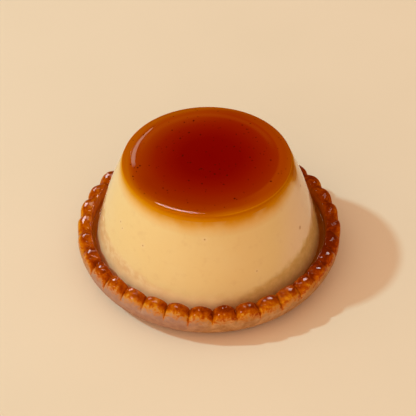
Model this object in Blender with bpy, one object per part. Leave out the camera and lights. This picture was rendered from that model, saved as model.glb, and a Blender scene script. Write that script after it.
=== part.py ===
"""Caramel pudding standing in its pastry tart shell.

A moulded custard, wider at its foot, carries a set layer of caramel and stands in a
shallow baked shell whose rim is crimped into a ring of rounded beads.
Metres, +Z up; the origin is the middle of the shell's flat base.
"""
import math

import bmesh
import bpy

# Tart shell: a flat base, a wall that swells out to its waist, and the crimped rim
BASE_RADIUS = 0.0338
WAIST_RADIUS = 0.0392
WAIST_HEIGHT = 0.0076
WALL_FULLNESS = 1.45
CREST_RADIUS = 0.0357
INNER_RADIUS = 0.0353
FLOOR_HEIGHT = 0.0028
FLOOR_FILLET = 0.0015

# Section of the rim in a crease between two beads, and over the middle of a bead
BEAD_COUNT = 33
FIRST_CREASE = math.radians(149)
DRIFT = math.radians(4.0)
DRIFT_SIDE = math.radians(209)
CREASE_HEIGHT = 0.0030
CREASE_FULLNESS = 1.6
BEAD_WIDTH = 0.0041
BEAD_HEIGHT = 0.0047
BEAD_FULLNESS = 2.8
FOOT_SWELL = 0.25
FULL_SWELL_TURN = math.radians(25)
LIP_WIDTH = 0.0008
LIP_END = math.radians(166)
SIZE_SPREAD = 0.05
SIZE_RHYTHM = 2.4
LEAN = 0.11
LEAN_SIDE = math.radians(160)

# Custard: a wide foot, slightly bulging sides and a narrow flat top
PUDDING_CENTRE_X = -0.0003
FIT_GAP = 0.0003
FOOT_RADIUS = 0.0344
FOOT_ROUNDING = 0.0012
SHOULDER_RADIUS = 0.0246
SIDE_BULGE = 0.0012

# Caramel: a thin layer that carries the custard's side on and rolls over to a flat top
EDGE_HEIGHT = 0.0354
CARAMEL_UNDERSIDE = 0.0345
EDGE_ROUNDING = 0.0009
EDGE_SLOPE = math.radians(18)
FLAT_RADIUS = 0.0205

# Facets
COLUMNS_PER_BEAD = 6
PUDDING_COLUMNS = 80
WALL_STEPS = 4
RIM_STEPS = 8
SIDE_STEPS = 7
ROUNDING_STEPS = 3
SHOULDER_STEPS = 3

QUARTER_TURN = math.pi / 2
OFF_RIM = -1.0
MERGE_DISTANCE = 1e-7
SHARP_ANGLE = math.radians(50)


def clear_scene():
    for item in list(bpy.data.objects):
        bpy.data.objects.remove(item, do_unlink=True)


def food_finish(name, colour, roughness):
    material = bpy.data.materials.new(name)
    material.use_nodes = True
    shader = material.node_tree.nodes["Principled BSDF"]
    shader.inputs["Base Color"].default_value = (*colour, 1.0)
    shader.inputs["Roughness"].default_value = roughness
    shader.inputs["Metallic"].default_value = 0.0
    return material


def fractions(steps):
    return [i / steps for i in range(steps + 1)]


def rounded_quarter(turn, width, height, fullness):
    """Offset on a rounded quarter, from flat out (0) to straight up (a quarter turn)."""
    power = 2 / fullness
    return width * math.cos(turn) ** power, height * math.sin(turn) ** power


def arc(centre_radius, centre_height, rounding, first, last):
    """Profile points on a round edge, at angles measured up from flat out."""
    angles = [first + (last - first) * part for part in fractions(ROUNDING_STEPS)]
    return [
        (centre_radius + rounding * math.cos(a), centre_height + rounding * math.sin(a))
        for a in angles
    ]


def profile_verts(bm, points):
    """A chain of edges in the XZ plane through (radius, height) points."""
    verts = [bm.verts.new((radius, 0, height)) for radius, height in points]
    for pair in zip(verts, verts[1:]):
        bm.edges.new(pair)
    return verts


def spin_round(bm, columns):
    """Turn the profile once round the Z axis into a closed skin."""
    bmesh.ops.spin(
        bm, geom=bm.verts[:] + bm.edges[:], cent=(0, 0, 0), axis=(0, 0, 1),
        angle=math.tau, steps=columns, use_merge=True,
    )
    bmesh.ops.remove_doubles(bm, verts=bm.verts, dist=MERGE_DISTANCE)
    bmesh.ops.recalc_face_normals(bm, faces=bm.faces)


def add_piece(name, bm, material, centre_x=0.0):
    mesh = bpy.data.meshes.new(name)
    bm.to_mesh(mesh)
    bm.free()
    mesh.shade_smooth()
    mesh.set_sharp_from_angle(angle=SHARP_ANGLE)
    mesh.materials.append(material)
    piece = bpy.data.objects.new(name, mesh)
    piece.location.x = centre_x
    bpy.context.collection.objects.link(piece)


# ---- Tart shell ----------------------------------------------------------------------

def rim_point(turn, swell):
    """Rim section at a turn from its outside (0) over the crest and down to its lip.

    A swell of 0 gives the crease between two beads, and 1 the middle of a bead.
    """
    inward = turn > QUARTER_TURN
    rise = math.pi - turn if inward else turn
    crease_width = LIP_WIDTH if inward else WAIST_RADIUS - CREST_RADIUS
    bead_width = LIP_WIDTH if inward else BEAD_WIDTH
    crease_out, crease_up = rounded_quarter(rise, crease_width, CREASE_HEIGHT, CREASE_FULLNESS)
    bead_out, bead_up = rounded_quarter(rise, bead_width, BEAD_HEIGHT, BEAD_FULLNESS)
    out = crease_out + (bead_out - crease_out) * swell
    up = crease_up + (bead_up - crease_up) * swell
    return CREST_RADIUS + (-out if inward else out), WAIST_HEIGHT + up


def wall_points():
    """Outside of the shell, from the edge of its flat base to just under the waist."""
    points = []
    for part in fractions(WALL_STEPS)[:-1]:
        out, down = rounded_quarter(
            QUARTER_TURN * (1 - part), WAIST_RADIUS - BASE_RADIUS, WAIST_HEIGHT, WALL_FULLNESS)
        points.append((BASE_RADIUS + out, WAIST_HEIGHT - down))
    return points


def floor_points():
    """Inside of the shell, from the foot of its inner wall to the middle of its floor."""
    fillet = arc(INNER_RADIUS - FLOOR_FILLET, FLOOR_HEIGHT + FLOOR_FILLET,
                 FLOOR_FILLET, 0, -QUARTER_TURN)
    return fillet + [(0, FLOOR_HEIGHT)]


def bead_size(bead):
    """Beads pinched by hand differ a little in size."""
    return 1 + SIZE_SPREAD * math.sin(SIZE_RHYTHM * bead)


def crimp(bm, turn_layer):
    """Push the rim up and out into beads, with a sharp crease between neighbours.

    A bead hardly stands out from the wall at its foot, on the waist. Pinched by hand, the
    beads crowd a little to one side of the shell and stand higher on another.
    """
    bead_angle = math.tau / BEAD_COUNT
    for vert in bm.verts:
        around = math.atan2(vert.co.y, vert.co.x) % math.tau
        bead, step = divmod(round(around / bead_angle * COLUMNS_PER_BEAD), COLUMNS_PER_BEAD)
        sweep = math.pi * step / COLUMNS_PER_BEAD
        angle = FIRST_CREASE + (bead + (1 - math.cos(sweep)) / 2) * bead_angle
        angle += DRIFT * math.cos(angle - DRIFT_SIDE)
        radius, height = math.hypot(vert.co.x, vert.co.y), vert.co.z
        if vert[turn_layer] != OFF_RIM:
            turn = vert[turn_layer]
            foot = min(1, FOOT_SWELL + (1 - FOOT_SWELL) * turn / FULL_SWELL_TURN)
            swell = math.sin(sweep) * foot * bead_size(bead % BEAD_COUNT)
            radius, height = rim_point(turn, swell)
            height += LEAN * math.cos(angle - LEAN_SIDE) * (height - WAIST_HEIGHT)
        vert.co = (radius * math.cos(angle), radius * math.sin(angle), height)


def make_tart_shell():
    turns = [LIP_END * part for part in fractions(RIM_STEPS)]
    bm = bmesh.new()
    turn_layer = bm.verts.layers.float.new("rim_turn")
    outside = [(0, 0)] + wall_points()
    rim = [rim_point(turn, 0) for turn in turns]
    floor = floor_points()
    marks = [OFF_RIM] * len(outside) + turns + [OFF_RIM] * len(floor)
    for vert, mark in zip(profile_verts(bm, outside + rim + floor), marks):
        vert[turn_layer] = mark
    spin_round(bm, BEAD_COUNT * COLUMNS_PER_BEAD)
    crimp(bm, turn_layer)
    add_piece("tart_shell", bm, food_finish("baked_pastry", (0.36, 0.12, 0.02), 0.45))


# ---- Pudding -------------------------------------------------------------------------

def side_radius(height):
    """Radius of the pudding's side, which runs from the custard into the caramel.

    It bulges most halfway down, where 4 * down * (1 - down) is 1.
    """
    foot = FLOOR_HEIGHT + FIT_GAP
    down = (EDGE_HEIGHT - height) / (EDGE_HEIGHT - foot)
    straight = SHOULDER_RADIUS + (FOOT_RADIUS - SHOULDER_RADIUS) * down
    return straight + 4 * SIDE_BULGE * down * (1 - down)


def make_custard():
    """Rounded at the foot, where it stands on the shell's floor, and flat on top."""
    foot = FLOOR_HEIGHT + FIT_GAP
    side_start = foot + FOOT_ROUNDING
    top = CARAMEL_UNDERSIDE - FIT_GAP
    rounding = arc(side_radius(side_start) - FOOT_ROUNDING, side_start,
                   FOOT_ROUNDING, -QUARTER_TURN, 0)
    heights = [side_start + (top - side_start) * part for part in fractions(SIDE_STEPS)[1:]]
    side = [(side_radius(height), height) for height in heights]
    bm = bmesh.new()
    profile_verts(bm, [(0, foot)] + rounding + side + [(0, top)])
    spin_round(bm, PUDDING_COLUMNS)
    add_piece("custard", bm, food_finish("set_custard", (0.83, 0.56, 0.23), 0.3),
              PUDDING_CENTRE_X)


def make_caramel():
    """Side, round edge, a shoulder that eases off inwards, and the flat middle."""
    edge = arc(SHOULDER_RADIUS - EDGE_ROUNDING, EDGE_HEIGHT,
               EDGE_ROUNDING, 0, QUARTER_TURN - EDGE_SLOPE)
    brink_radius, brink_height = edge[-1]
    shoulder_width = brink_radius - FLAT_RADIUS
    fall = math.tan(EDGE_SLOPE) * shoulder_width / 2
    shoulder = [
        (brink_radius - shoulder_width * part, brink_height + fall * (1 - (1 - part) ** 2))
        for part in fractions(SHOULDER_STEPS)[1:]
    ]
    flat_height = shoulder[-1][1]
    bm = bmesh.new()
    profile_verts(bm, [(0, CARAMEL_UNDERSIDE), (side_radius(CARAMEL_UNDERSIDE), CARAMEL_UNDERSIDE)]
                  + edge + shoulder + [(0, flat_height)])
    spin_round(bm, PUDDING_COLUMNS)
    add_piece("caramel", bm, food_finish("set_caramel", (0.26, 0.02, 0.001), 0.12),
              PUDDING_CENTRE_X)


clear_scene()
make_tart_shell()
make_custard()
make_caramel()
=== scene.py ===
"""Caramel pudding in a glazed tart shell: its looks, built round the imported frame.

Metres, +Z up; the origin is the middle of the shell's flat base.
"""
import math

import bpy
from mathutils import Matrix, Quaternion, Vector


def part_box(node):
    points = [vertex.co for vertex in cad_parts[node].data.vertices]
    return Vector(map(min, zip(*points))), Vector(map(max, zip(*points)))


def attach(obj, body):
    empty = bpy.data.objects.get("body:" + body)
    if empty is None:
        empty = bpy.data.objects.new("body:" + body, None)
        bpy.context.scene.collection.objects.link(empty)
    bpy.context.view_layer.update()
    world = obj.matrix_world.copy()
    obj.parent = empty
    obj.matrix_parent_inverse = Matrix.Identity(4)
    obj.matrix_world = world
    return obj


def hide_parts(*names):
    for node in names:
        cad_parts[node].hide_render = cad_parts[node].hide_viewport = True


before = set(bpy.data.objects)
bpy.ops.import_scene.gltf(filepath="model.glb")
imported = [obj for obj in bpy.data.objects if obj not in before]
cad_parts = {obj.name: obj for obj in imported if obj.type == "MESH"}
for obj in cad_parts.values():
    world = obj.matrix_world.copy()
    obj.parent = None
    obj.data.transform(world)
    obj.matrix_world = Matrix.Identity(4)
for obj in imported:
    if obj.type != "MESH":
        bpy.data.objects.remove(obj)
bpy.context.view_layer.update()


# ---- Camera --------------------------------------------------------------------------
# A long lens looks down on the pudding from the front, and stands a touch askew.

CAMERA_TARGET = Vector((-0.0002, 0.0122, 0.0060))
CAMERA_DISTANCE = 0.4322
CAMERA_DROP = math.radians(42.014)
CAMERA_ROLL = math.radians(-0.815)
CAMERA_LENS = 121.15

camera = bpy.data.objects.new("camera", bpy.data.cameras.new("camera"))
camera.data.lens = CAMERA_LENS
aim = Matrix.Rotation(math.pi / 2 - CAMERA_DROP, 4, "X") @ Matrix.Rotation(CAMERA_ROLL, 4, "Z")
step_back = Matrix.Translation((0, 0, CAMERA_DISTANCE))
camera.matrix_world = Matrix.Translation(CAMERA_TARGET) @ aim @ step_back
bpy.context.collection.objects.link(camera)
bpy.context.scene.camera = camera


# ---- Tart shell ----------------------------------------------------------------------
# Shortcrust pastry pressed into a shallow round mould. Its rim is pinched by hand into
# beads and brushed with dark caramel glaze, which pools in the creases, runs a little
# way down from them and leaves the wall below dry.

class Bench:
    """A node tree in the making."""

    def __init__(self, tree):
        self.tree = tree
        tree.nodes.clear()

    def add(self, kind, settings=None, sockets=None, output=0):
        """Add a node: its settings first, then the values or links of its sockets."""
        node = self.tree.nodes.new(kind)
        for name, value in (settings or {}).items():
            if name == "stops":
                self.set_stops(node.color_ramp, value)
            else:
                setattr(node, name, value)
        for name, value in (sockets or {}).items():
            if isinstance(value, Wire):
                self.tree.links.new(value.socket, node.inputs[name])
            else:
                node.inputs[name].default_value = value
        return Wire(self, node, output) if node.outputs else None

    def set_stops(self, ramp, stops):
        while len(ramp.elements) < len(stops):
            ramp.elements.new(1)
        for element, (place, colour) in zip(ramp.elements, stops):
            element.position = place
            element.color = colour


class Wire:
    """A node's output. Sums on wires and numbers add their Math nodes."""

    def __init__(self, bench, node, output=0):
        self.bench = bench
        self.node = node
        self.socket = node.outputs[output]

    def out(self, output):
        return Wire(self.bench, self.node, output)

    def math(self, operation, *terms):
        return self.bench.add("ShaderNodeMath", {"operation": operation}, dict(enumerate(terms)))

    def __add__(self, other):
        return self.math("ADD", self, other)

    def __sub__(self, other):
        return self.math("SUBTRACT", self, other)

    def __rsub__(self, other):
        return self.math("SUBTRACT", other, self)

    def __mul__(self, other):
        return self.math("MULTIPLY", self, other)

    def __truediv__(self, other):
        return self.math("DIVIDE", self, other)

    def __rtruediv__(self, other):
        return self.math("DIVIDE", other, self)

    def __pow__(self, other):
        return self.math("POWER", self, other)

    __radd__ = __add__
    __rmul__ = __mul__

    def sin(self):
        return self.math("SINE", self)

    def cos(self):
        return self.math("COSINE", self)

    def tan(self):
        return self.math("TANGENT", self)

    def unsigned(self):
        return self.math("ABSOLUTE", self)

    def whole(self):
        return self.math("FLOOR", self)

    def least(self, other):
        return self.math("MINIMUM", self, other)

    def most(self, other):
        return self.math("MAXIMUM", self, other)

    def over(self, other):
        """1 where this is the greater, and 0 elsewhere."""
        return self.math("GREATER_THAN", self, other)

    def fade(self, start, end):
        """0 at start and 1 at end, with an easy passage between them."""
        return self.bench.add("ShaderNodeMapRange", {"interpolation_type": "SMOOTHSTEP"},
                              {0: self, 1: start, 2: end})


def split(bench, vector):
    """X, Y and Z of a place or a direction, as three wires."""
    x = bench.add("ShaderNodeSeparateXYZ", None, {0: vector})
    return x, x.out(1), x.out(2)


def turned_strip(bench, columns, rows, section):
    """A skin that goes once round the upright axis.

    section turns two shares, round the axis and across the strip, into angle, radius and
    height. It may return marks too, which are kept on the skin for its finish.
    """
    grid = bench.add("GeometryNodeMeshGrid", None,
                     {"Size X": 1, "Size Y": 1, "Vertices X": columns + 1, "Vertices Y": rows + 1})
    x, y, _ = split(bench, bench.add("GeometryNodeInputPosition"))
    angle, radius, height, marks = section(x + 0.5, y + 0.5)
    skin = grid
    for name, mark in marks.items():
        skin = bench.add("GeometryNodeStoreNamedAttribute", {"domain": "POINT"},
                         {"Geometry": skin, "Name": name, "Value": mark})
    spot = bench.add("ShaderNodeCombineXYZ", None,
                     {0: radius * angle.cos(), 1: radius * angle.sin(), 2: height})
    return bench.add("GeometryNodeSetPosition", None, {"Geometry": skin, "Position": spot})


MERGE_DISTANCE = 2e-6


def sewn(bench, columns, strips):
    """One closed skin out of strips that meet edge to edge.

    strips lists how many rows each strip has and the section that shapes it.
    """
    turned = [turned_strip(bench, columns, rows, section) for rows, section in strips]
    join = bench.add("GeometryNodeJoinGeometry")
    for strip in reversed(turned):
        bench.tree.links.new(strip.socket, join.node.inputs[0])
    return bench.add("GeometryNodeMergeByDistance", None,
                     {"Geometry": join, "Distance": MERGE_DISTANCE})


def pushed(bench, skin, depth):
    """Move the skin out along its own normal by a depth that changes from place to place."""
    normal = bench.add("GeometryNodeInputNormal")
    offset = bench.add("ShaderNodeVectorMath", {"operation": "SCALE"}, {0: normal, "Scale": depth})
    return bench.add("GeometryNodeSetPosition", None, {"Geometry": skin, "Offset": offset})


def noise(bench, size, seed, detail=2.0, vector=None, roughness=0.5, distortion=0.0):
    """Soft lumps about one size across, from 0 to 1."""
    sockets = {"W": seed, "Scale": 1 / size, "Detail": detail, "Roughness": roughness,
               "Distortion": distortion}
    if vector is not None:
        sockets["Vector"] = vector
    return bench.add("ShaderNodeTexNoise", {"noise_dimensions": "4D"}, sockets)


def shape_tree(name, sizes):
    """A Geometry Nodes tree with a named input for each size, and the wires of those inputs."""
    tree = bpy.data.node_groups.new(name, "GeometryNodeTree")
    tree.interface.new_socket("Geometry", in_out="INPUT", socket_type="NodeSocketGeometry")
    for label, value in sizes.items():
        kind = "NodeSocketInt" if isinstance(value, int) else "NodeSocketFloat"
        tree.interface.new_socket(label, in_out="INPUT", socket_type=kind)
    tree.interface.new_socket("Geometry", in_out="OUTPUT", socket_type="NodeSocketGeometry")
    bench = Bench(tree)
    inlet = bench.add("NodeGroupInput")
    wires = {label: inlet.out(place) for place, label in enumerate(sizes, start=1)}
    return bench, inlet, wires


def finish_tree(bench, skin, material):
    """End a shape tree: the skin made real and smooth, in its material."""
    real = bench.add("GeometryNodeRealizeInstances", None, {0: skin})
    smooth = bench.add("GeometryNodeSetShadeSmooth", None, {"Geometry": real})
    coated = bench.add("GeometryNodeSetMaterial", None, {"Geometry": smooth, "Material": material})
    outlet = bench.tree.nodes.new("NodeGroupOutput")
    bench.tree.links.new(coated.socket, outlet.inputs[0])


def grown(name, bench, sizes, start=None):
    """Run a shape tree, and keep its result as a plain mesh on an object of its own."""
    piece = bpy.data.objects.new(name, start or bpy.data.meshes.new(name))
    bpy.context.collection.objects.link(piece)
    modifier = piece.modifiers.new("shape", "NODES")
    modifier.node_group = bench.tree
    for item in bench.tree.interface.items_tree:
        if item.name in sizes:
            modifier[item.identifier] = sizes[item.name]
    depsgraph = bpy.context.evaluated_depsgraph_get()
    mesh = bpy.data.meshes.new_from_object(
        piece.evaluated_get(depsgraph), preserve_all_data_layers=True, depsgraph=depsgraph)
    piece.modifiers.remove(modifier)
    piece.data = mesh
    mesh.name = name
    return piece


def dye(red, green, blue):
    """The linear colour that shows as these screen values, 0 to 255."""
    shares = [value / 255 for value in (red, green, blue)]
    return (*[s / 12.92 if s <= 0.04045 else ((s + 0.055) / 1.055) ** 2.4 for s in shares], 1.0)


def mixed(bench, share, first, second):
    """Two colours mixed: none of the second at a share of 0, all of it at 1."""
    return bench.add("ShaderNodeMix", {"data_type": "RGBA"}, {0: share, 6: first, 7: second},
                     output=2)


def graded(bench, share, tones):
    """The colour that a share picks from a row of tones, each with its own place."""
    return bench.add("ShaderNodeValToRGB", {"stops": tones}, {0: share})


def relief(bench, strength, depth, height):
    """The normal of a surface with a fine relief, where height goes from 0 to about 1."""
    return bench.add("ShaderNodeBump", None,
                     {"Strength": strength, "Distance": depth, "Height": height})


def finish_bench(name):
    """An empty material, with wires for the spot on the piece and its X, Y and Z."""
    material = bpy.data.materials.new(name)
    material.use_nodes = True
    bench = Bench(material.node_tree)
    spot = bench.add("ShaderNodeTexCoord", output=3)
    return material, bench, spot, split(bench, spot)


def surfaced(bench, sockets):
    """End a material: one surface with these values and wires on its sockets."""
    shader = bench.add("ShaderNodeBsdfPrincipled", {"subsurface_method": "RANDOM_WALK"}, sockets)
    bench.add("ShaderNodeOutputMaterial", None, {"Surface": shader})


def toward(x, y, azimuth):
    """How far a spot lies from the upright axis towards an azimuth."""
    return x * math.cos(azimuth) + y * math.sin(azimuth)


shell_low, shell_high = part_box("tart_shell")
rim_radius = (shell_high.x - shell_low.x) / 2

SHELL = {
    "Beads": 33,
    "Columns Per Bead": 24,
    "First Crease": math.radians(149),
    "Drift": math.radians(4.0),  # the most that a bead is shifted along the rim
    "Drift Side": math.radians(209),
    "Base Radius": rim_radius - 0.0057,
    "Waist Radius": rim_radius - 0.0003,
    "Waist Height": 0.59 * shell_high.z,
    "Crest Radius": rim_radius - 0.0038,
    "Inner Radius": rim_radius - 0.0042,
    "Floor Height": 0.0028,
    "Crease Height": 0.0026,
    "Bead Width": 0.0041,
    "Bead Height": 0.0047,
    "Lip Width": 0.0008,
    "Size Spread": 0.05,
    "Merging": 0.75,  # how far the beads' tops run together on the left and right
    "Lean": 0.11,  # the rim stands higher on one side
    "Lean Side": math.radians(160),
    "Lumps": 0.00036,
    "Grain": 0.00008,
    "Seed": 3.0,
}
QUARTER_TURN = math.pi / 2
LIP_END = math.radians(166)

# Fullness: 2 gives a round quarter, less a flatter one and more a squarer one
WALL_FULLNESS = 1.45
CREASE_FULLNESS = 1.9
FRONT_FULLNESS = 2.2
SIDE_FULLNESS = 3.6

# How a bead swells from its creases to its middle, and from the waist up
PINCH = 1.25
PINCH_SPREAD = 0.35
FOOT_SWELL = 0.25
FULL_SWELL_TURN = math.radians(36)

# Uneven rhythms that make each bead and crease a little different
SIZE_RHYTHM = 2.4
TONE_RHYTHM = 5.3
RUN_RHYTHM = 7.7

GLAZE_TONES = [
    # how thick the glaze lies, from 0 to 1, and its colour there
    (0.0, dye(212, 126, 14)), (0.22, dye(196, 98, 4)), (0.5, dye(176, 72, 0)),
    (0.75, dye(152, 52, 0)), (1.0, dye(122, 36, 0)),
]
# The glaze's colour inside the shell, made lighter by painted light bounced off the custard.
GLAZE_INSIDE_PAINTED_LIGHT = dye(212, 108, 12)
CRUST_DARK = dye(168, 113, 66)
CRUST_LIGHT = dye(204, 150, 100)
# Painted sheen: the paler, greyer tone of the dry crust towards the front left.
CRUST_PAINTED_SHEEN = dye(166, 126, 120)
# Painted shade at the foot of the wall, where the shell stands on the table.
CRUST_PAINTED_BASE_SHADE = dye(112, 62, 28)
SHEEN_SIDE = math.radians(235)


def crust_finish():
    """Dry crust, with painted sheen and shade, under a glaze that ends in a ragged line below the
    beads.

    swell is 0 in a crease and 1 mid-bead. section goes over the skin: -1 on the base, 0 at
    the waist, 1 on the crest, 2 under the lip and 3 on the floor. own is each bead's own
    tone, and run is how far the glaze ran down each crease.
    """
    material, bench, spot, (x, y, z) = finish_bench("glazed_crust")
    swell, section, own, run = [
        bench.add("ShaderNodeAttribute", {"attribute_name": name}, output=2)
        for name in ("swell", "section", "own", "run")]
    marbling = noise(bench, 0.0020, 1.0, detail=3, vector=spot, distortion=1.2) - 0.5
    mottle = noise(bench, 0.0007, 2.0, detail=4, vector=spot, roughness=0.65) - 0.5
    crease = (1 - swell).most(0) ** 3
    sheen_side = toward(x, y, SHEEN_SIDE).fade(0.0305, 0.037)

    # The glaze runs lowest in the creases and ends higher towards the front left, where the dry
    # crust has a painted sheen. It lies thickest on the upper part of each bead, and thicker
    # towards the right of the shell.
    reach = section + mottle * 0.6 + marbling * 0.7 + crease * run * 0.5 - sheen_side * 0.15
    cap = section.fade(0.5, 0.8) - section.fade(0.85, 1.3) * 0.5
    thickness = (cap * 0.4 + reach.fade(0.1, 0.6) * 0.4 + crease * 0.05 + marbling * 1.6
                 + mottle * 0.8 + own * 0.16 + x.fade(0.008, 0.036) * 0.22 - 0.12)
    glaze = graded(bench, thickness, GLAZE_TONES)
    # Inside the shell the glaze takes its lighter tone, with painted light.
    glaze = mixed(bench, section.fade(1.2, 2.0), glaze, GLAZE_INSIDE_PAINTED_LIGHT)

    flour = noise(bench, 0.0026, 5.0, detail=5, vector=spot, roughness=0.65)
    crust = mixed(bench, flour.fade(0.3, 0.7), CRUST_DARK, CRUST_LIGHT)
    # Painted sheen: the dry crust is paler and greyer towards the front left.
    crust = mixed(bench, sheen_side * 0.5, crust, CRUST_PAINTED_SHEEN)
    # Painted shade: the dry crust is darker at the foot of the wall.
    crust = mixed(bench, z.fade(0.0030, 0.0008) * 0.5, crust, CRUST_PAINTED_BASE_SHADE)

    # At the far right the glaze has dried and hardly shines.
    dull = x.fade(0.012, 0.024) * y.fade(-0.016, -0.006) * 0.85
    crumb = noise(bench, 0.0005, 7.0, detail=3, vector=spot)
    surfaced(bench, {
        "Base Color": mixed(bench, reach.fade(-0.02, 0.46), crust, glaze),
        "Roughness": 0.6,
        "Specular IOR Level": 0.0,
        "Coat Weight": reach.fade(0.15, 0.45) * (1 - dull),
        "Coat Roughness": 0.06,
        "Coat IOR": 1.2,
        "Normal": relief(bench, 0.4, 0.0002, crumb),
    })
    return material


def rounded_quarter(rise, width, height, fullness):
    """How far out and up a rounded quarter is, from flat out (0) to straight up."""
    return rise.cos().most(0) ** (2 / fullness) * width, rise.sin() ** (2 / fullness) * height


def make_tart_shell():
    bench, _, size = shape_tree("crimped_shell", SHELL)
    columns = size["Beads"] * size["Columns Per Bead"]

    def pinch(around):
        """Angle on the rim, and how far the bead there swells: 0 in a crease, 1 mid-bead."""
        place = around * size["Beads"]
        bead = place.whole()
        sweep = (place - bead) * math.pi
        angle = size["First Crease"] + (bead + 0.5 - sweep.cos() * 0.5) * math.tau / size["Beads"]
        angle = angle + size["Drift"] * (angle - size["Drift Side"]).cos()
        own = (bead * TONE_RHYTHM).sin()
        own_size = (bead * SIZE_RHYTHM).sin() * size["Size Spread"] + 1
        marks = {"swell": sweep.sin() ** (own * PINCH_SPREAD + PINCH) * own_size, "own": own,
                 "run": ((place + 0.5).whole() * RUN_RHYTHM).sin() * 0.5 + 0.5}
        return angle, marks

    def leaned(angle, up):
        """Height of the rim at a height above the waist, with its lean."""
        return size["Waist Height"] + up * ((angle - size["Lean Side"]).cos() * size["Lean"] + 1)

    def base(around, across):
        angle, marks = pinch(around)
        return angle, across * size["Base Radius"], across * 0, {**marks, "section": -1.0}

    def wall(around, across):
        angle, marks = pinch(around)
        flare, down = rounded_quarter(
            (1 - across) * QUARTER_TURN, size["Waist Radius"] - size["Base Radius"],
            size["Waist Height"], WALL_FULLNESS)
        return (angle, size["Base Radius"] + flare, size["Waist Height"] - down,
                {**marks, "section": across - 1})

    def rim(around, turn, crease_width, bead_width, foot, merged):
        """Between a crease and a bead; beads are squarer, and merge, on the left and right."""
        angle, marks = pinch(around)
        crease_out, crease_up = rounded_quarter(
            turn, crease_width, size["Crease Height"], CREASE_FULLNESS)
        sideways = angle.cos() ** 2
        fullness = sideways * (SIDE_FULLNESS - FRONT_FULLNESS) + FRONT_FULLNESS
        bead_out, bead_up = rounded_quarter(turn, bead_width, size["Bead Height"], fullness)
        share = marks["swell"] * foot
        share = share + (1 - share) * sideways * merged
        out = crease_out + (bead_out - crease_out) * share
        up = crease_up + (bead_up - crease_up) * share
        return angle, out, leaned(angle, up), marks

    def outside(around, across):
        turn = across * QUARTER_TURN
        foot = (FOOT_SWELL + (1 - FOOT_SWELL) * turn / FULL_SWELL_TURN).least(1)
        merged = across.fade(0.55, 1.0) * size["Merging"]
        angle, out, height, marks = rim(
            around, turn, size["Waist Radius"] - size["Crest Radius"], size["Bead Width"], foot,
            merged)
        return angle, size["Crest Radius"] + out, height, {**marks, "section": across}

    def lip(around, across):
        turn = QUARTER_TURN - across * (LIP_END - QUARTER_TURN)
        angle, out, height, marks = rim(
            around, turn, size["Lip Width"], size["Lip Width"], 1, size["Merging"])
        return angle, size["Crest Radius"] - out, height, {**marks, "section": across + 1}

    def inside(around, across):
        lip_turn = across * 0 + (math.pi - LIP_END)
        angle, out, top, marks = rim(
            around, lip_turn, size["Lip Width"], size["Lip Width"], 1, size["Merging"])
        start = size["Crest Radius"] - out
        radius = start + (size["Inner Radius"] - start) * across.fade(0, 0.5)
        height = top + (size["Floor Height"] - top) * across
        return angle, radius, height, {**marks, "section": across + 2}

    def floor(around, across):
        angle, marks = pinch(around)
        return (angle, size["Inner Radius"] * (1 - across), size["Floor Height"] + across * 0,
                {**marks, "section": 3.0})

    skin = sewn(bench, columns, [
        (4, base), (22, wall), (34, outside), (14, lip), (10, inside), (4, floor)])
    section = bench.add("GeometryNodeInputNamedAttribute", {"data_type": "FLOAT"},
                        {"Name": "section"})
    # The base stays flat, the wall is smoother than the rim, and most lumps are hollows.
    _, _, height = split(bench, bench.add("GeometryNodeInputPosition"))
    off_base = height.fade(0, 0.0015)
    on_rim = section.fade(-0.2, 0.1) * 0.8 + 0.2
    lumps = (noise(bench, 0.0028, size["Seed"], detail=1) - 0.68) * size["Lumps"]
    grain = (noise(bench, 0.0007, size["Seed"] + 1) - 0.5) * size["Grain"]
    skin = pushed(bench, skin, (lumps * on_rim + grain) * off_base)
    finish_tree(bench, skin, crust_finish())
    shell = grown("tart_crust", bench, SHELL)
    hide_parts("tart_shell")
    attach(shell, "root")


make_tart_shell()


# ---- Custard -------------------------------------------------------------------------
# Set custard turned out of a smooth cup mould, so that its foot is wide and its top
# narrow. It is moist all over, wettest at the foot, and caramel has soaked into its top.
# Its colour also holds painted light and shade: a painted sheen on its right, painted
# shade below the drip, and painted light, reflection and shade at its wet foot.

custard_low, custard_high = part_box("custard")
caramel_low, caramel_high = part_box("caramel")

PUDDING = {
    "Columns": 240,
    "Middle X": (custard_low.x + custard_high.x) / 2,
    "Foot Height": custard_low.z,
    "Foot Radius": (custard_high.x - custard_low.x) / 2 + 0.0002,  # before its rounding
    "Foot Rounding": 0.0012,
    "Shoulder Radius": (caramel_high.x - caramel_low.x) / 2 - 0.0004,  # at the edge height
    "Side Bulge": 0.0012,
    "Edge Height": caramel_high.z - 0.00145,
    "Seam Height": caramel_low.z - 0.0002,
}
SEAM_CROWDING = 1.6
CUSTARD_RELIEF = {"Waves": 0.00016, "Ripples": 0.00003, "Seed": 11.0}

SOAKED_TONES = [
    # how deep the caramel soaked in, from 0 to 1, and the colour there
    (0.0, dye(234, 192, 125)), (0.3, dye(231, 177, 103)), (0.5, dye(224, 158, 68)),
    (0.66, dye(213, 137, 28)), (0.78, dye(206, 124, 2)), (0.9, dye(198, 112, 0)),
    (1.0, dye(188, 98, 0)),
]
SOAK_LOWEST = 0.0300
SOAK_HIGHEST = 0.0354
DRIP = (351, 0.0333)  # azimuth in degrees, height
# Painted shade below the drip on the right: its place, as azimuth and height, and its tone.
SHADE_SPOT = (350, 0.0314)
SHADE_SPOT_TONE = dye(206, 138, 62)
CLOUDED = dye(234, 196, 134)
FLECKED = dye(216, 160, 104)
# Painted sheen on the right of the pudding's side.
CUSTARD_SHEEN = dye(242, 196, 164)

FOOT_REACH = 0.034
WET_HEIGHT = 0.0105
WET_RISE = 0.0078
WET_RAGGEDNESS = 0.0045
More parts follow.
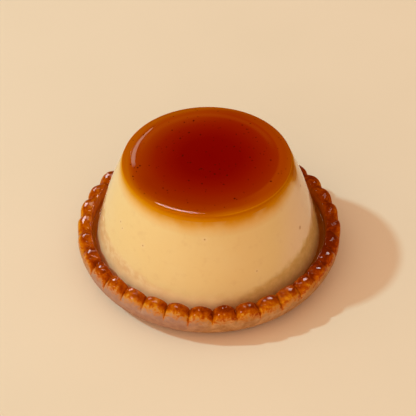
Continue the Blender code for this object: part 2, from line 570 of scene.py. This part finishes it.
# The wet foot's colours: painted reflection on the left, painted shade on the right.
WET_REFLECTION_TONES = (dye(228, 170, 114), dye(244, 204, 152))
WET_SHADE_TONES = (dye(196, 138, 58), dye(216, 158, 84))
# Painted light, lighter at the left of the pudding's foot.
FOOT_PAINTED_LIGHT = dye(252, 208, 146)

PORES = [
    # azimuth in degrees, height, radius
    (332, 0.0216, 0.00060), (351, 0.0290, 0.00042), (268, 0.0296, 0.00028),
    (231, 0.0236, 0.00026), (210, 0.0252, 0.00026), (213, 0.0240, 0.00022),
    (296, 0.0180, 0.00024),
]
PORE_EDGE = dye(238, 196, 148)
PORE_HOLE = dye(176, 104, 28)


def side_radius(size, height):
    """Radius of the pudding's side, which bulges most halfway down."""
    down = (size["Edge Height"] - height) / (size["Edge Height"] - size["Foot Height"])
    straight = size["Shoulder Radius"] + (size["Foot Radius"] - size["Shoulder Radius"]) * down
    return straight + size["Side Bulge"] * 4 * down * (1 - down)


def side_place(azimuth, height):
    """The spot on the pudding's side at an azimuth in degrees and a height."""
    radius = side_radius(PUDDING, height)
    swing = math.radians(azimuth)
    return PUDDING["Middle X"] + radius * math.cos(swing), radius * math.sin(swing), height


def near(bench, spot, place, far_off, close_by):
    """1 within close_by of a place, and 0 when it is far_off."""
    gap = bench.add("ShaderNodeVectorMath", {"operation": "DISTANCE"}, {0: spot, 1: place},
                    output=1)
    return gap.fade(far_off, close_by)


def soaking(bench, spot, x, z):
    """How deep the caramel soaked into the pudding's side: 0 in plain custard, 1 at the top.

    It reaches lower towards the right, lowest in a drip there, and less far at both ends.
    """
    drip = near(bench, spot, side_place(*DRIP), 0.0050, 0.0005)
    drift = noise(bench, 0.006, 4.0, detail=3, vector=spot) - 0.5
    ends = (x / PUDDING["Shoulder Radius"]).unsigned() ** 4
    height = z + x * 0.02 + drift * 0.0012 + drip * 0.0022 - ends * 0.0011
    return (height - SOAK_LOWEST) / (SOAK_HIGHEST - SOAK_LOWEST)


def pored(bench, spot, colour):
    """A few small open pores, each with a pale edge."""
    for azimuth, height, size in PORES:
        place = side_place(azimuth, height)
        halo = near(bench, spot, place, size * 4, size * 2) * 0.25
        hole = near(bench, spot, place, size * 1.3, size * 0.5) * 0.6
        colour = mixed(bench, hole, mixed(bench, halo, colour, PORE_EDGE), PORE_HOLE)
    return colour


def custard_finish():
    """Pale custard, amber where caramel soaked in, wet up to a ragged line at its foot, with
    painted light and shade.
    """
    material, bench, spot, (x, _, z) = finish_bench("moist_custard")
    aside = x / FOOT_REACH
    ragged = noise(bench, 0.0035, 17.0, detail=4, vector=spot, roughness=0.6) - 0.5
    wet_edge = aside.unsigned() ** 1.4 * WET_RISE + ragged * WET_RAGGEDNESS + WET_HEIGHT
    wet = (z - wet_edge).fade(0.0016, -0.0010)

    soak = soaking(bench, spot, x, z)
    cloud = noise(bench, 0.009, 6.0, detail=3, vector=spot)
    fleck = noise(bench, 0.0026, 16.0, detail=3, vector=spot, roughness=0.6)
    # Painted sheen on the right of the side, above the wet foot.
    painted_sheen = aside.fade(0.5, 0.8) * (1 - wet) * soak.fade(0.4, 0.1)
    # Painted shade below the drip.
    painted_shade = near(bench, spot, side_place(*SHADE_SPOT), 0.0040, 0.0006)
    colour = graded(bench, soak, SOAKED_TONES)
    colour = mixed(bench, cloud.fade(0.45, 0.7) * 0.3, colour, CLOUDED)
    colour = mixed(bench, fleck.fade(0.52, 0.75) * 0.22, colour, FLECKED)
    colour = mixed(bench, painted_sheen * 0.5, colour, CUSTARD_SHEEN)
    colour = mixed(bench, painted_shade * 0.55, colour, SHADE_SPOT_TONE)

    streak = noise(bench, 0.0016, 18.0, detail=3, vector=spot, roughness=0.6).fade(0.4, 0.7)
    # The wet foot: painted reflection on the left and painted shade on the right.
    wet_reflection_and_shade = mixed(bench, aside.fade(-0.2, 0.4),
                       mixed(bench, streak, *WET_REFLECTION_TONES), mixed(bench, streak, *WET_SHADE_TONES))
    colour = mixed(bench, wet * 0.6, colour, wet_reflection_and_shade)
    # Painted light at the left of the foot.
    glow = z.fade(0.0138, 0.0104) * aside.fade(0.35, -0.05)
    colour = mixed(bench, glow * 0.8, colour, FOOT_PAINTED_LIGHT)

    skin = noise(bench, 0.0016, 8.0, detail=3, vector=spot) + wet * 0.6
    surfaced(bench, {
        "Base Color": pored(bench, spot, colour),
        "Roughness": 0.4,
        "Specular IOR Level": 0.0,
        "Coat Weight": soak.fade(0.75, 0.45),
        "Coat Roughness": 0.08,
        "Coat IOR": 1.42,
        "Normal": relief(bench, 0.15, 0.0004, skin),
    })
    return material


def moved_aside(bench, skin, reach):
    """Move a skin sideways, along X."""
    shift = bench.add("ShaderNodeCombineXYZ", None, {0: reach})
    return bench.add("GeometryNodeTransform", None, {"Geometry": skin, "Translation": shift})


def make_custard():
    sizes = {**PUDDING, **CUSTARD_RELIEF}
    bench, _, size = shape_tree("moulded_custard", sizes)
    side_start = size["Foot Height"] + size["Foot Rounding"]

    def base(around, across):
        reach = side_radius(size, side_start) - size["Foot Rounding"]
        return around * math.tau, across * reach, size["Foot Height"] + across * 0, {}

    def foot(around, across):
        rise = (1 - across) * QUARTER_TURN
        inner = side_radius(size, side_start) - size["Foot Rounding"]
        return (around * math.tau, inner + rise.cos() * size["Foot Rounding"],
                side_start - rise.sin() * size["Foot Rounding"], {})

    def side(around, across):
        rise = 1 - (1 - across) ** SEAM_CROWDING
        height = side_start + (size["Seam Height"] - side_start) * rise
        return around * math.tau, side_radius(size, height), height, {}

    def top(around, across):
        return (around * math.tau, side_radius(size, size["Seam Height"]) * (1 - across),
                size["Seam Height"] + across * 0, {})

    skin = sewn(bench, size["Columns"], [(6, base), (6, foot), (110, side), (6, top)])
    _, _, height = split(bench, bench.add("GeometryNodeInputPosition"))
    free = height.fade(0.0031, 0.006) * height.fade(0.0343, 0.032)
    waves = (noise(bench, 0.014, size["Seed"], detail=1) - 0.5) * size["Waves"]
    ripples = (noise(bench, 0.003, size["Seed"] + 1, detail=1) - 0.5) * size["Ripples"]
    skin = pushed(bench, skin, (waves + ripples) * free)
    skin = moved_aside(bench, skin, size["Middle X"])
    finish_tree(bench, skin, custard_finish())
    custard = grown("custard_body", bench, sizes)
    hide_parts("custard")
    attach(custard, "root")


make_custard()


# ---- Caramel -------------------------------------------------------------------------
# Caramel that was poured into the mould first and set to a clear, glassy layer. It is
# deepest and darkest in the middle and turns amber where it thins out at its round edge.

CARAMEL = {
    "Edge Rounding": 0.0009,
    "Edge Slope": math.radians(18),
    "Flat Radius": 0.0205,
}

CARAMEL_TONES = [
    # how far out, from the deepest place (0) to the edge (1), and the colour there
    (0.0, dye(131, 2, 0)), (0.35, dye(135, 6, 0)), (0.5, dye(143, 14, 0)),
    (0.66, dye(151, 26, 0)), (0.82, dye(158, 40, 0)), (0.92, dye(166, 55, 0)),
    (0.965, dye(179, 77, 0)), (0.98, dye(187, 89, 0)), (1.0, dye(190, 96, 0)),
]
CARAMEL_THIN = dye(182, 70, 0)
CARAMEL_LIT = dye(178, 66, 0)
# Painted reflection on the ring round the far half of the flat pool.
RING_REFLECTION = dye(196, 92, 10)
# Painted highlight on the round edge at the right.
EDGE_HIGHLIGHT = dye(216, 132, 0)
DEEPEST_X = 0.0009
LIT_SIDE = math.radians(138.8)
EDGE_FOOT = 0.0354
EDGE_TOP = 0.0361


def from_axis(x, y):
    """Distance from the upright axis."""
    return (x * x + y * y) ** 0.5


def caramel_finish():
    """Deep red where the caramel is thick, amber where it is thin, glassy where wet, with painted
    light.
    """
    material, bench, spot, (x, y, z) = finish_bench("glassy_caramel")
    across = x - PUDDING["Middle X"]
    radius = from_axis(across, y)
    # Painted light: the caramel is lighter towards the back left.
    lit = toward(across, y, LIT_SIDE).fade(0.0028, 0.0226)
    drift = noise(bench, 0.009, 9.0, detail=3, vector=spot) - 0.5
    spread = from_axis(across - DEEPEST_X, y)
    spread = spread + (radius - spread) * radius.fade(0.018, 0.0215)
    share = (spread + drift * 0.0014 + lit * 0.0020) / PUDDING["Shoulder Radius"]

    # The thin shoulder on the right, painted light on the shoulder on the left, a painted
    # reflection on the ring round the far half of the flat pool, and a painted highlight on the
    # round edge at the right.
    thin = radius.fade(0.0204, 0.0212) * across.fade(0.006, 0.018)
    lit_shoulder = lit * radius.fade(0.014, 0.020)
    reflection_ring = (radius.fade(0.0181, 0.0193) * radius.fade(0.0208, 0.0196)
                * y.fade(0.001, 0.010))
    edge_highlight = (z.fade(EDGE_TOP, EDGE_TOP - 0.0003) * z.fade(EDGE_FOOT - 0.0002, EDGE_FOOT + 0.0001)
            * across.fade(0, 0.008))
    colour = graded(bench, share, CARAMEL_TONES)
    colour = mixed(bench, thin * 0.45, colour, CARAMEL_THIN)
    colour = mixed(bench, lit_shoulder * 0.5, colour, CARAMEL_LIT)
    colour = mixed(bench, reflection_ring * 0.17, colour, RING_REFLECTION)
    colour = mixed(bench, edge_highlight * 0.9, colour, EDGE_HIGHLIGHT)
    soaked = graded(bench, soaking(bench, spot, x, z), SOAKED_TONES)

    # The top is wet on the left half, but for two dry patches near its edge.
    left = across.fade(-0.012, -0.016)
    dry_edge = left * y.fade(-0.016, -0.011) * radius.fade(0.0219, 0.0223)
    dry_patch = left * y.fade(-0.0015, -0.0045) * y.fade(-0.0095, -0.0075)
    wet = z.fade(EDGE_TOP, EDGE_TOP + 0.0001) * across.fade(0, -0.006)

    waviness = noise(bench, 0.004, 10.0, detail=1, vector=spot)
    surfaced(bench, {
        "Base Color": mixed(bench, z.fade(EDGE_TOP, EDGE_FOOT), colour, soaked),
        "Roughness": 0.4,
        "Specular IOR Level": 0.0,
        "Coat Weight": wet * (1 - dry_edge) * (1 - dry_patch),
        "Coat Roughness": 0.04,
        "Coat IOR": 1.2,
        "Normal": relief(bench, 0.03, 0.0005, waviness),
    })
    return material


def make_caramel():
    sizes = {**PUDDING, **CARAMEL}
    bench, _, size = shape_tree("caramel_layer", sizes)
    rounding = size["Edge Rounding"]
    edge_middle = size["Shoulder Radius"] - rounding
    brink = QUARTER_TURN - size["Edge Slope"]
    brink_radius = edge_middle + rounding * brink.cos()
    brink_height = size["Edge Height"] + rounding * brink.sin()
    width = brink_radius - size["Flat Radius"]
    fall = size["Edge Slope"].tan() * width * 0.5

    def under(around, across):
        return (around * math.tau, across * side_radius(size, size["Seam Height"]),
                size["Seam Height"] + across * 0, {})

    def side(around, across):
        rise = across ** SEAM_CROWDING
        height = size["Seam Height"] + (size["Edge Height"] - size["Seam Height"]) * rise
        return around * math.tau, side_radius(size, height), height, {}

    def edge(around, across):
        rise = across * brink
        return (around * math.tau, edge_middle + rounding * rise.cos(),
                size["Edge Height"] + rounding * rise.sin(), {})

    def shoulder(around, across):
        return (around * math.tau, brink_radius - width * across,
                brink_height + fall * (1 - (1 - across) ** 2), {})

    def flat(around, across):
        return (around * math.tau, size["Flat Radius"] * (1 - across),
                brink_height + fall + across * 0, {})

    skin = sewn(bench, size["Columns"], [
        (6, under), (16, side), (12, edge), (20, shoulder), (24, flat)])
    skin = moved_aside(bench, skin, size["Middle X"])
    finish_tree(bench, skin, caramel_finish())
    caramel = grown("caramel_top", bench, sizes)
    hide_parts("caramel")
    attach(caramel, "root")
    return caramel


caramel = make_caramel()


# ---- Syrup ---------------------------------------------------------------------------
# Thin caramel syrup that ran down when the pudding was turned out. It stands in the groove
# between the custard and the shell, and creeps up both where it wets them.

SYRUP = {
    "Columns": 198,
    "Inner Radius": 0.0331,
    "Outer Radius": SHELL["Inner Radius"] + 0.0001,
    "Level": 0.0080,
    "Creep": 0.0006,
    "Depth": 0.0030,
}
SYRUP_DEEP = dye(140, 62, 2)
SYRUP_SHALLOW = dye(172, 90, 10)
SYRUP_LIT = dye(222, 122, 20)


def syrup_finish():
    """Dark amber syrup, with painted light on the left, where light comes in under the custard."""
    material, bench, spot, (x, _, _) = finish_bench("caramel_syrup")
    tone = noise(bench, 0.004, 15.0, detail=2, vector=spot)
    colour = mixed(bench, tone, SYRUP_DEEP, SYRUP_SHALLOW)
    surfaced(bench, {
        "Base Color": mixed(bench, x.fade(-0.008, -0.028) * 0.8, colour, SYRUP_LIT),
        "Roughness": 0.3,
        "Specular IOR Level": 0.0,
        "Coat Weight": 0.15,
        "Coat Roughness": 0.04,
        "Coat IOR": 1.2,
    })
    return material


def make_syrup():
    bench, _, size = shape_tree("syrup_ring", SYRUP)
    width = size["Outer Radius"] - size["Inner Radius"]

    def surface(around, across):
        dip = across * (1 - across) * 4
        return (around * math.tau, size["Inner Radius"] + width * across,
                size["Level"] - size["Creep"] * dip, {})

    def outer_wall(around, across):
        return (around * math.tau, size["Outer Radius"] + across * 0,
                size["Level"] - size["Depth"] * across, {})

    def under(around, across):
        return (around * math.tau, size["Outer Radius"] - width * across,
                size["Level"] - size["Depth"] + across * 0, {})

    def inner_wall(around, across):
        return (around * math.tau, size["Inner Radius"] + across * 0,
                size["Level"] - size["Depth"] * (1 - across), {})

    skin = sewn(bench, size["Columns"], [
        (8, surface), (2, outer_wall), (2, under), (2, inner_wall)])
    finish_tree(bench, skin, syrup_finish())
    syrup = grown("syrup_ring", bench, SYRUP)
    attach(syrup, "root")


make_syrup()


# ---- Vanilla specks ------------------------------------------------------------------
# Vanilla seeds and tiny scraps of pod, dark and flat. They sank through the hot caramel to
# the floor of the mould, so they lie in the top of the pudding when it is turned out.

SPECKS = {
    "Density": 100000.0,
    "Seed": 5,
    "Smallest": 0.00015,
    "Largest": 0.00036,
    "Slimness": 0.8,
    "Flatness": 0.06,
    "Rarity": 2.5,
    "Levelness": 0.97,
}
SPECK_DARK = dye(76, 8, 0)
SPECK_LIGHT = dye(104, 14, 0)


def speck_finish():
    material, bench, spot, _ = finish_bench("vanilla_pod")
    tone = noise(bench, 0.0008, 12.0, vector=spot)
    colour = mixed(bench, tone, SPECK_DARK, SPECK_LIGHT)
    surfaced(bench, {"Base Color": colour, "Roughness": 0.7, "Specular IOR Level": 0.0})
    return material


def chance(bench, most, seed):
    """A random number from 0 to most for each speck."""
    return bench.add("FunctionNodeRandomValue", {"data_type": "FLOAT"},
                     {"Min": 0.0, "Max": most, "Seed": seed}, output=1)


def make_specks():
    """Scatter specks over the caramel's level top; the larger ones are rare."""
    bench, inlet, size = shape_tree("scattered_specks", SPECKS)
    _, _, facing_up = split(bench, bench.add("GeometryNodeInputNormal"))
    level = facing_up.over(size["Levelness"])
    points = bench.add("GeometryNodeDistributePointsOnFaces", None, {
        "Mesh": inlet, "Selection": level, "Density": size["Density"], "Seed": size["Seed"]})
    grain = bench.add("GeometryNodeMeshIcoSphere", None, {"Radius": 1.0, "Subdivisions": 2})
    growth = chance(bench, 1.0, size["Seed"] + 1) ** size["Rarity"]
    width = size["Smallest"] + (size["Largest"] - size["Smallest"]) * growth
    scale = bench.add("ShaderNodeCombineXYZ", None,
                      {0: width, 1: width * size["Slimness"], 2: width * size["Flatness"]})
    spin = bench.add("ShaderNodeCombineXYZ", None,
                     {2: chance(bench, math.tau, size["Seed"] + 2)})
    specks = bench.add("GeometryNodeInstanceOnPoints", None, {
        "Points": points, "Instance": grain, "Rotation": spin, "Scale": scale})
    finish_tree(bench, specks, speck_finish())
    specks = grown("vanilla_specks", bench, SPECKS, start=caramel.data.copy())
    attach(specks, "root")


make_specks()


# ---- Table and light -----------------------------------------------------------------
# A plain warm table top under a soft key from the left, with a warm glow from all round.
# Strip lights and soft boxes only show as reflections in the wet and glazed surfaces.

LIGHTS = [
    # name, shape, azimuth, elevation, roll, distance, width, height, power, colour
    ("key", "ELLIPSE", 178, 48, 0, 1.6, 0.085, 0.085, 14.0, (0.34, 0.75, 1.0)),
    ("front_strip", "ELLIPSE", 268, 60, 0, 1.0, 0.22, 0.09, 1.0, (1.0, 0.80, 0.45)),
    ("right_box", "ELLIPSE", 60, 47.5, 0, 1.0, 0.34, 0.36, 8.5, (1.0, 0.92, 0.90)),
    ("left_box", "ELLIPSE", 207, 42, 0, 1.0, 0.16, 0.16, 2.0, (1.0, 0.92, 0.86)),
    ("left_back_box", "ELLIPSE", 120, 33, 0, 1.0, 0.38, 0.30, 7.5, (1.0, 0.92, 0.92)),
    ("high_strip", "RECTANGLE", 122.5, 71.2, -56, 1.0, 0.36, 0.06, 3.2, (1.0, 0.86, 0.80)),
    ("back_strip", "ELLIPSE", 101, 39.8, 40, 1.0, 0.17, 0.12, 0.42, (0.96, 0.93, 0.74)),
]
SHADOW_LIGHT = "key"
GLOW_COLOUR = (1.0, 0.84, 0.70, 1.0)
GLOW_STRENGTH = 0.82
GLOW_LEAN = 0.7
GLOW_SIDE = math.radians(260)
SCREEN_SIDE = math.radians(345)
SCREEN_SHADE = 0.7
BACKDROP_STRENGTH = 0.85

TABLE_REACH = 3.0
TABLE_TONES = (dye(245, 210, 171), dye(251, 215, 177))


def table_finish():
    material, bench, spot, _ = finish_bench("plain_table")
    cloud = noise(bench, 0.05, 13.0, detail=2, vector=spot)
    tooth = noise(bench, 0.0007, 14.0, detail=3, vector=spot)
    surfaced(bench, {
        "Base Color": mixed(bench, cloud, *TABLE_TONES),
        "Roughness": 0.85,
        "Specular IOR Level": 0.1,
        "Normal": relief(bench, 0.1, 0.0002, tooth),
    })
    return material


def make_table():
    mesh = bpy.data.meshes.new("table_top")
    corners = [(-TABLE_REACH, -TABLE_REACH, 0), (TABLE_REACH, -TABLE_REACH, 0),
               (TABLE_REACH, TABLE_REACH, 0), (-TABLE_REACH, TABLE_REACH, 0)]
    mesh.from_pydata(corners, [], [(0, 1, 2, 3)])
    mesh.materials.append(table_finish())
    table = bpy.data.objects.new("table_top", mesh)
    bpy.context.collection.objects.link(table)


def make_lamp(name, shape, azimuth, elevation, roll, distance, width, height, power, colour):
    """An area light that faces the pudding from one direction, given in degrees."""
    data = bpy.data.lights.new(name, "AREA")
    data.shape = shape
    data.size = width
    data.size_y = height
    data.energy = power
    data.color = colour
    lamp = bpy.data.objects.new(name, data)
    swing, rise = math.radians(azimuth), math.radians(elevation)
    way = Vector((math.cos(swing) * math.cos(rise), math.sin(swing) * math.cos(rise),
                  math.sin(rise)))
    lamp.location = way * distance
    tilt = Quaternion((0, 0, 1), math.radians(roll))
    lamp.rotation_euler = (way.to_track_quat("Z", "Y") @ tilt).to_euler()
    lamp.visible_glossy = name != SHADOW_LIGHT
    lamp.visible_diffuse = name == SHADOW_LIGHT
    bpy.context.collection.objects.link(lamp)


def make_glow():
    """A glow from all round, stronger from one side; it lights but isn't reflected."""
    world = bpy.data.worlds.new("studio")
    bpy.context.scene.world = world
    world.use_nodes = True
    world.cycles_visibility.glossy = False
    bench = Bench(world.node_tree)
    seen = bench.add("ShaderNodeLightPath")
    way = bench.add("ShaderNodeTexCoord", output=0)

    def facing(angle):
        side = (math.cos(angle), math.sin(angle), 0)
        return bench.add("ShaderNodeVectorMath", {"operation": "DOT_PRODUCT"},
                         {0: way, 1: side}, output=1)

    screened = 1 - facing(SCREEN_SIDE).most(0) ** 2 * SCREEN_SHADE
    glow = (facing(GLOW_SIDE) * GLOW_LEAN + 1) * screened * GLOW_STRENGTH
    strength = seen * BACKDROP_STRENGTH + (1 - seen) * glow
    shade = bench.add("ShaderNodeBackground", None, {"Color": GLOW_COLOUR, "Strength": strength})
    bench.add("ShaderNodeOutputWorld", None, {"Surface": shade})


make_table()
for light in LIGHTS:
    make_lamp(*light)
make_glow()
bpy.context.scene.view_settings.view_transform = "Standard"
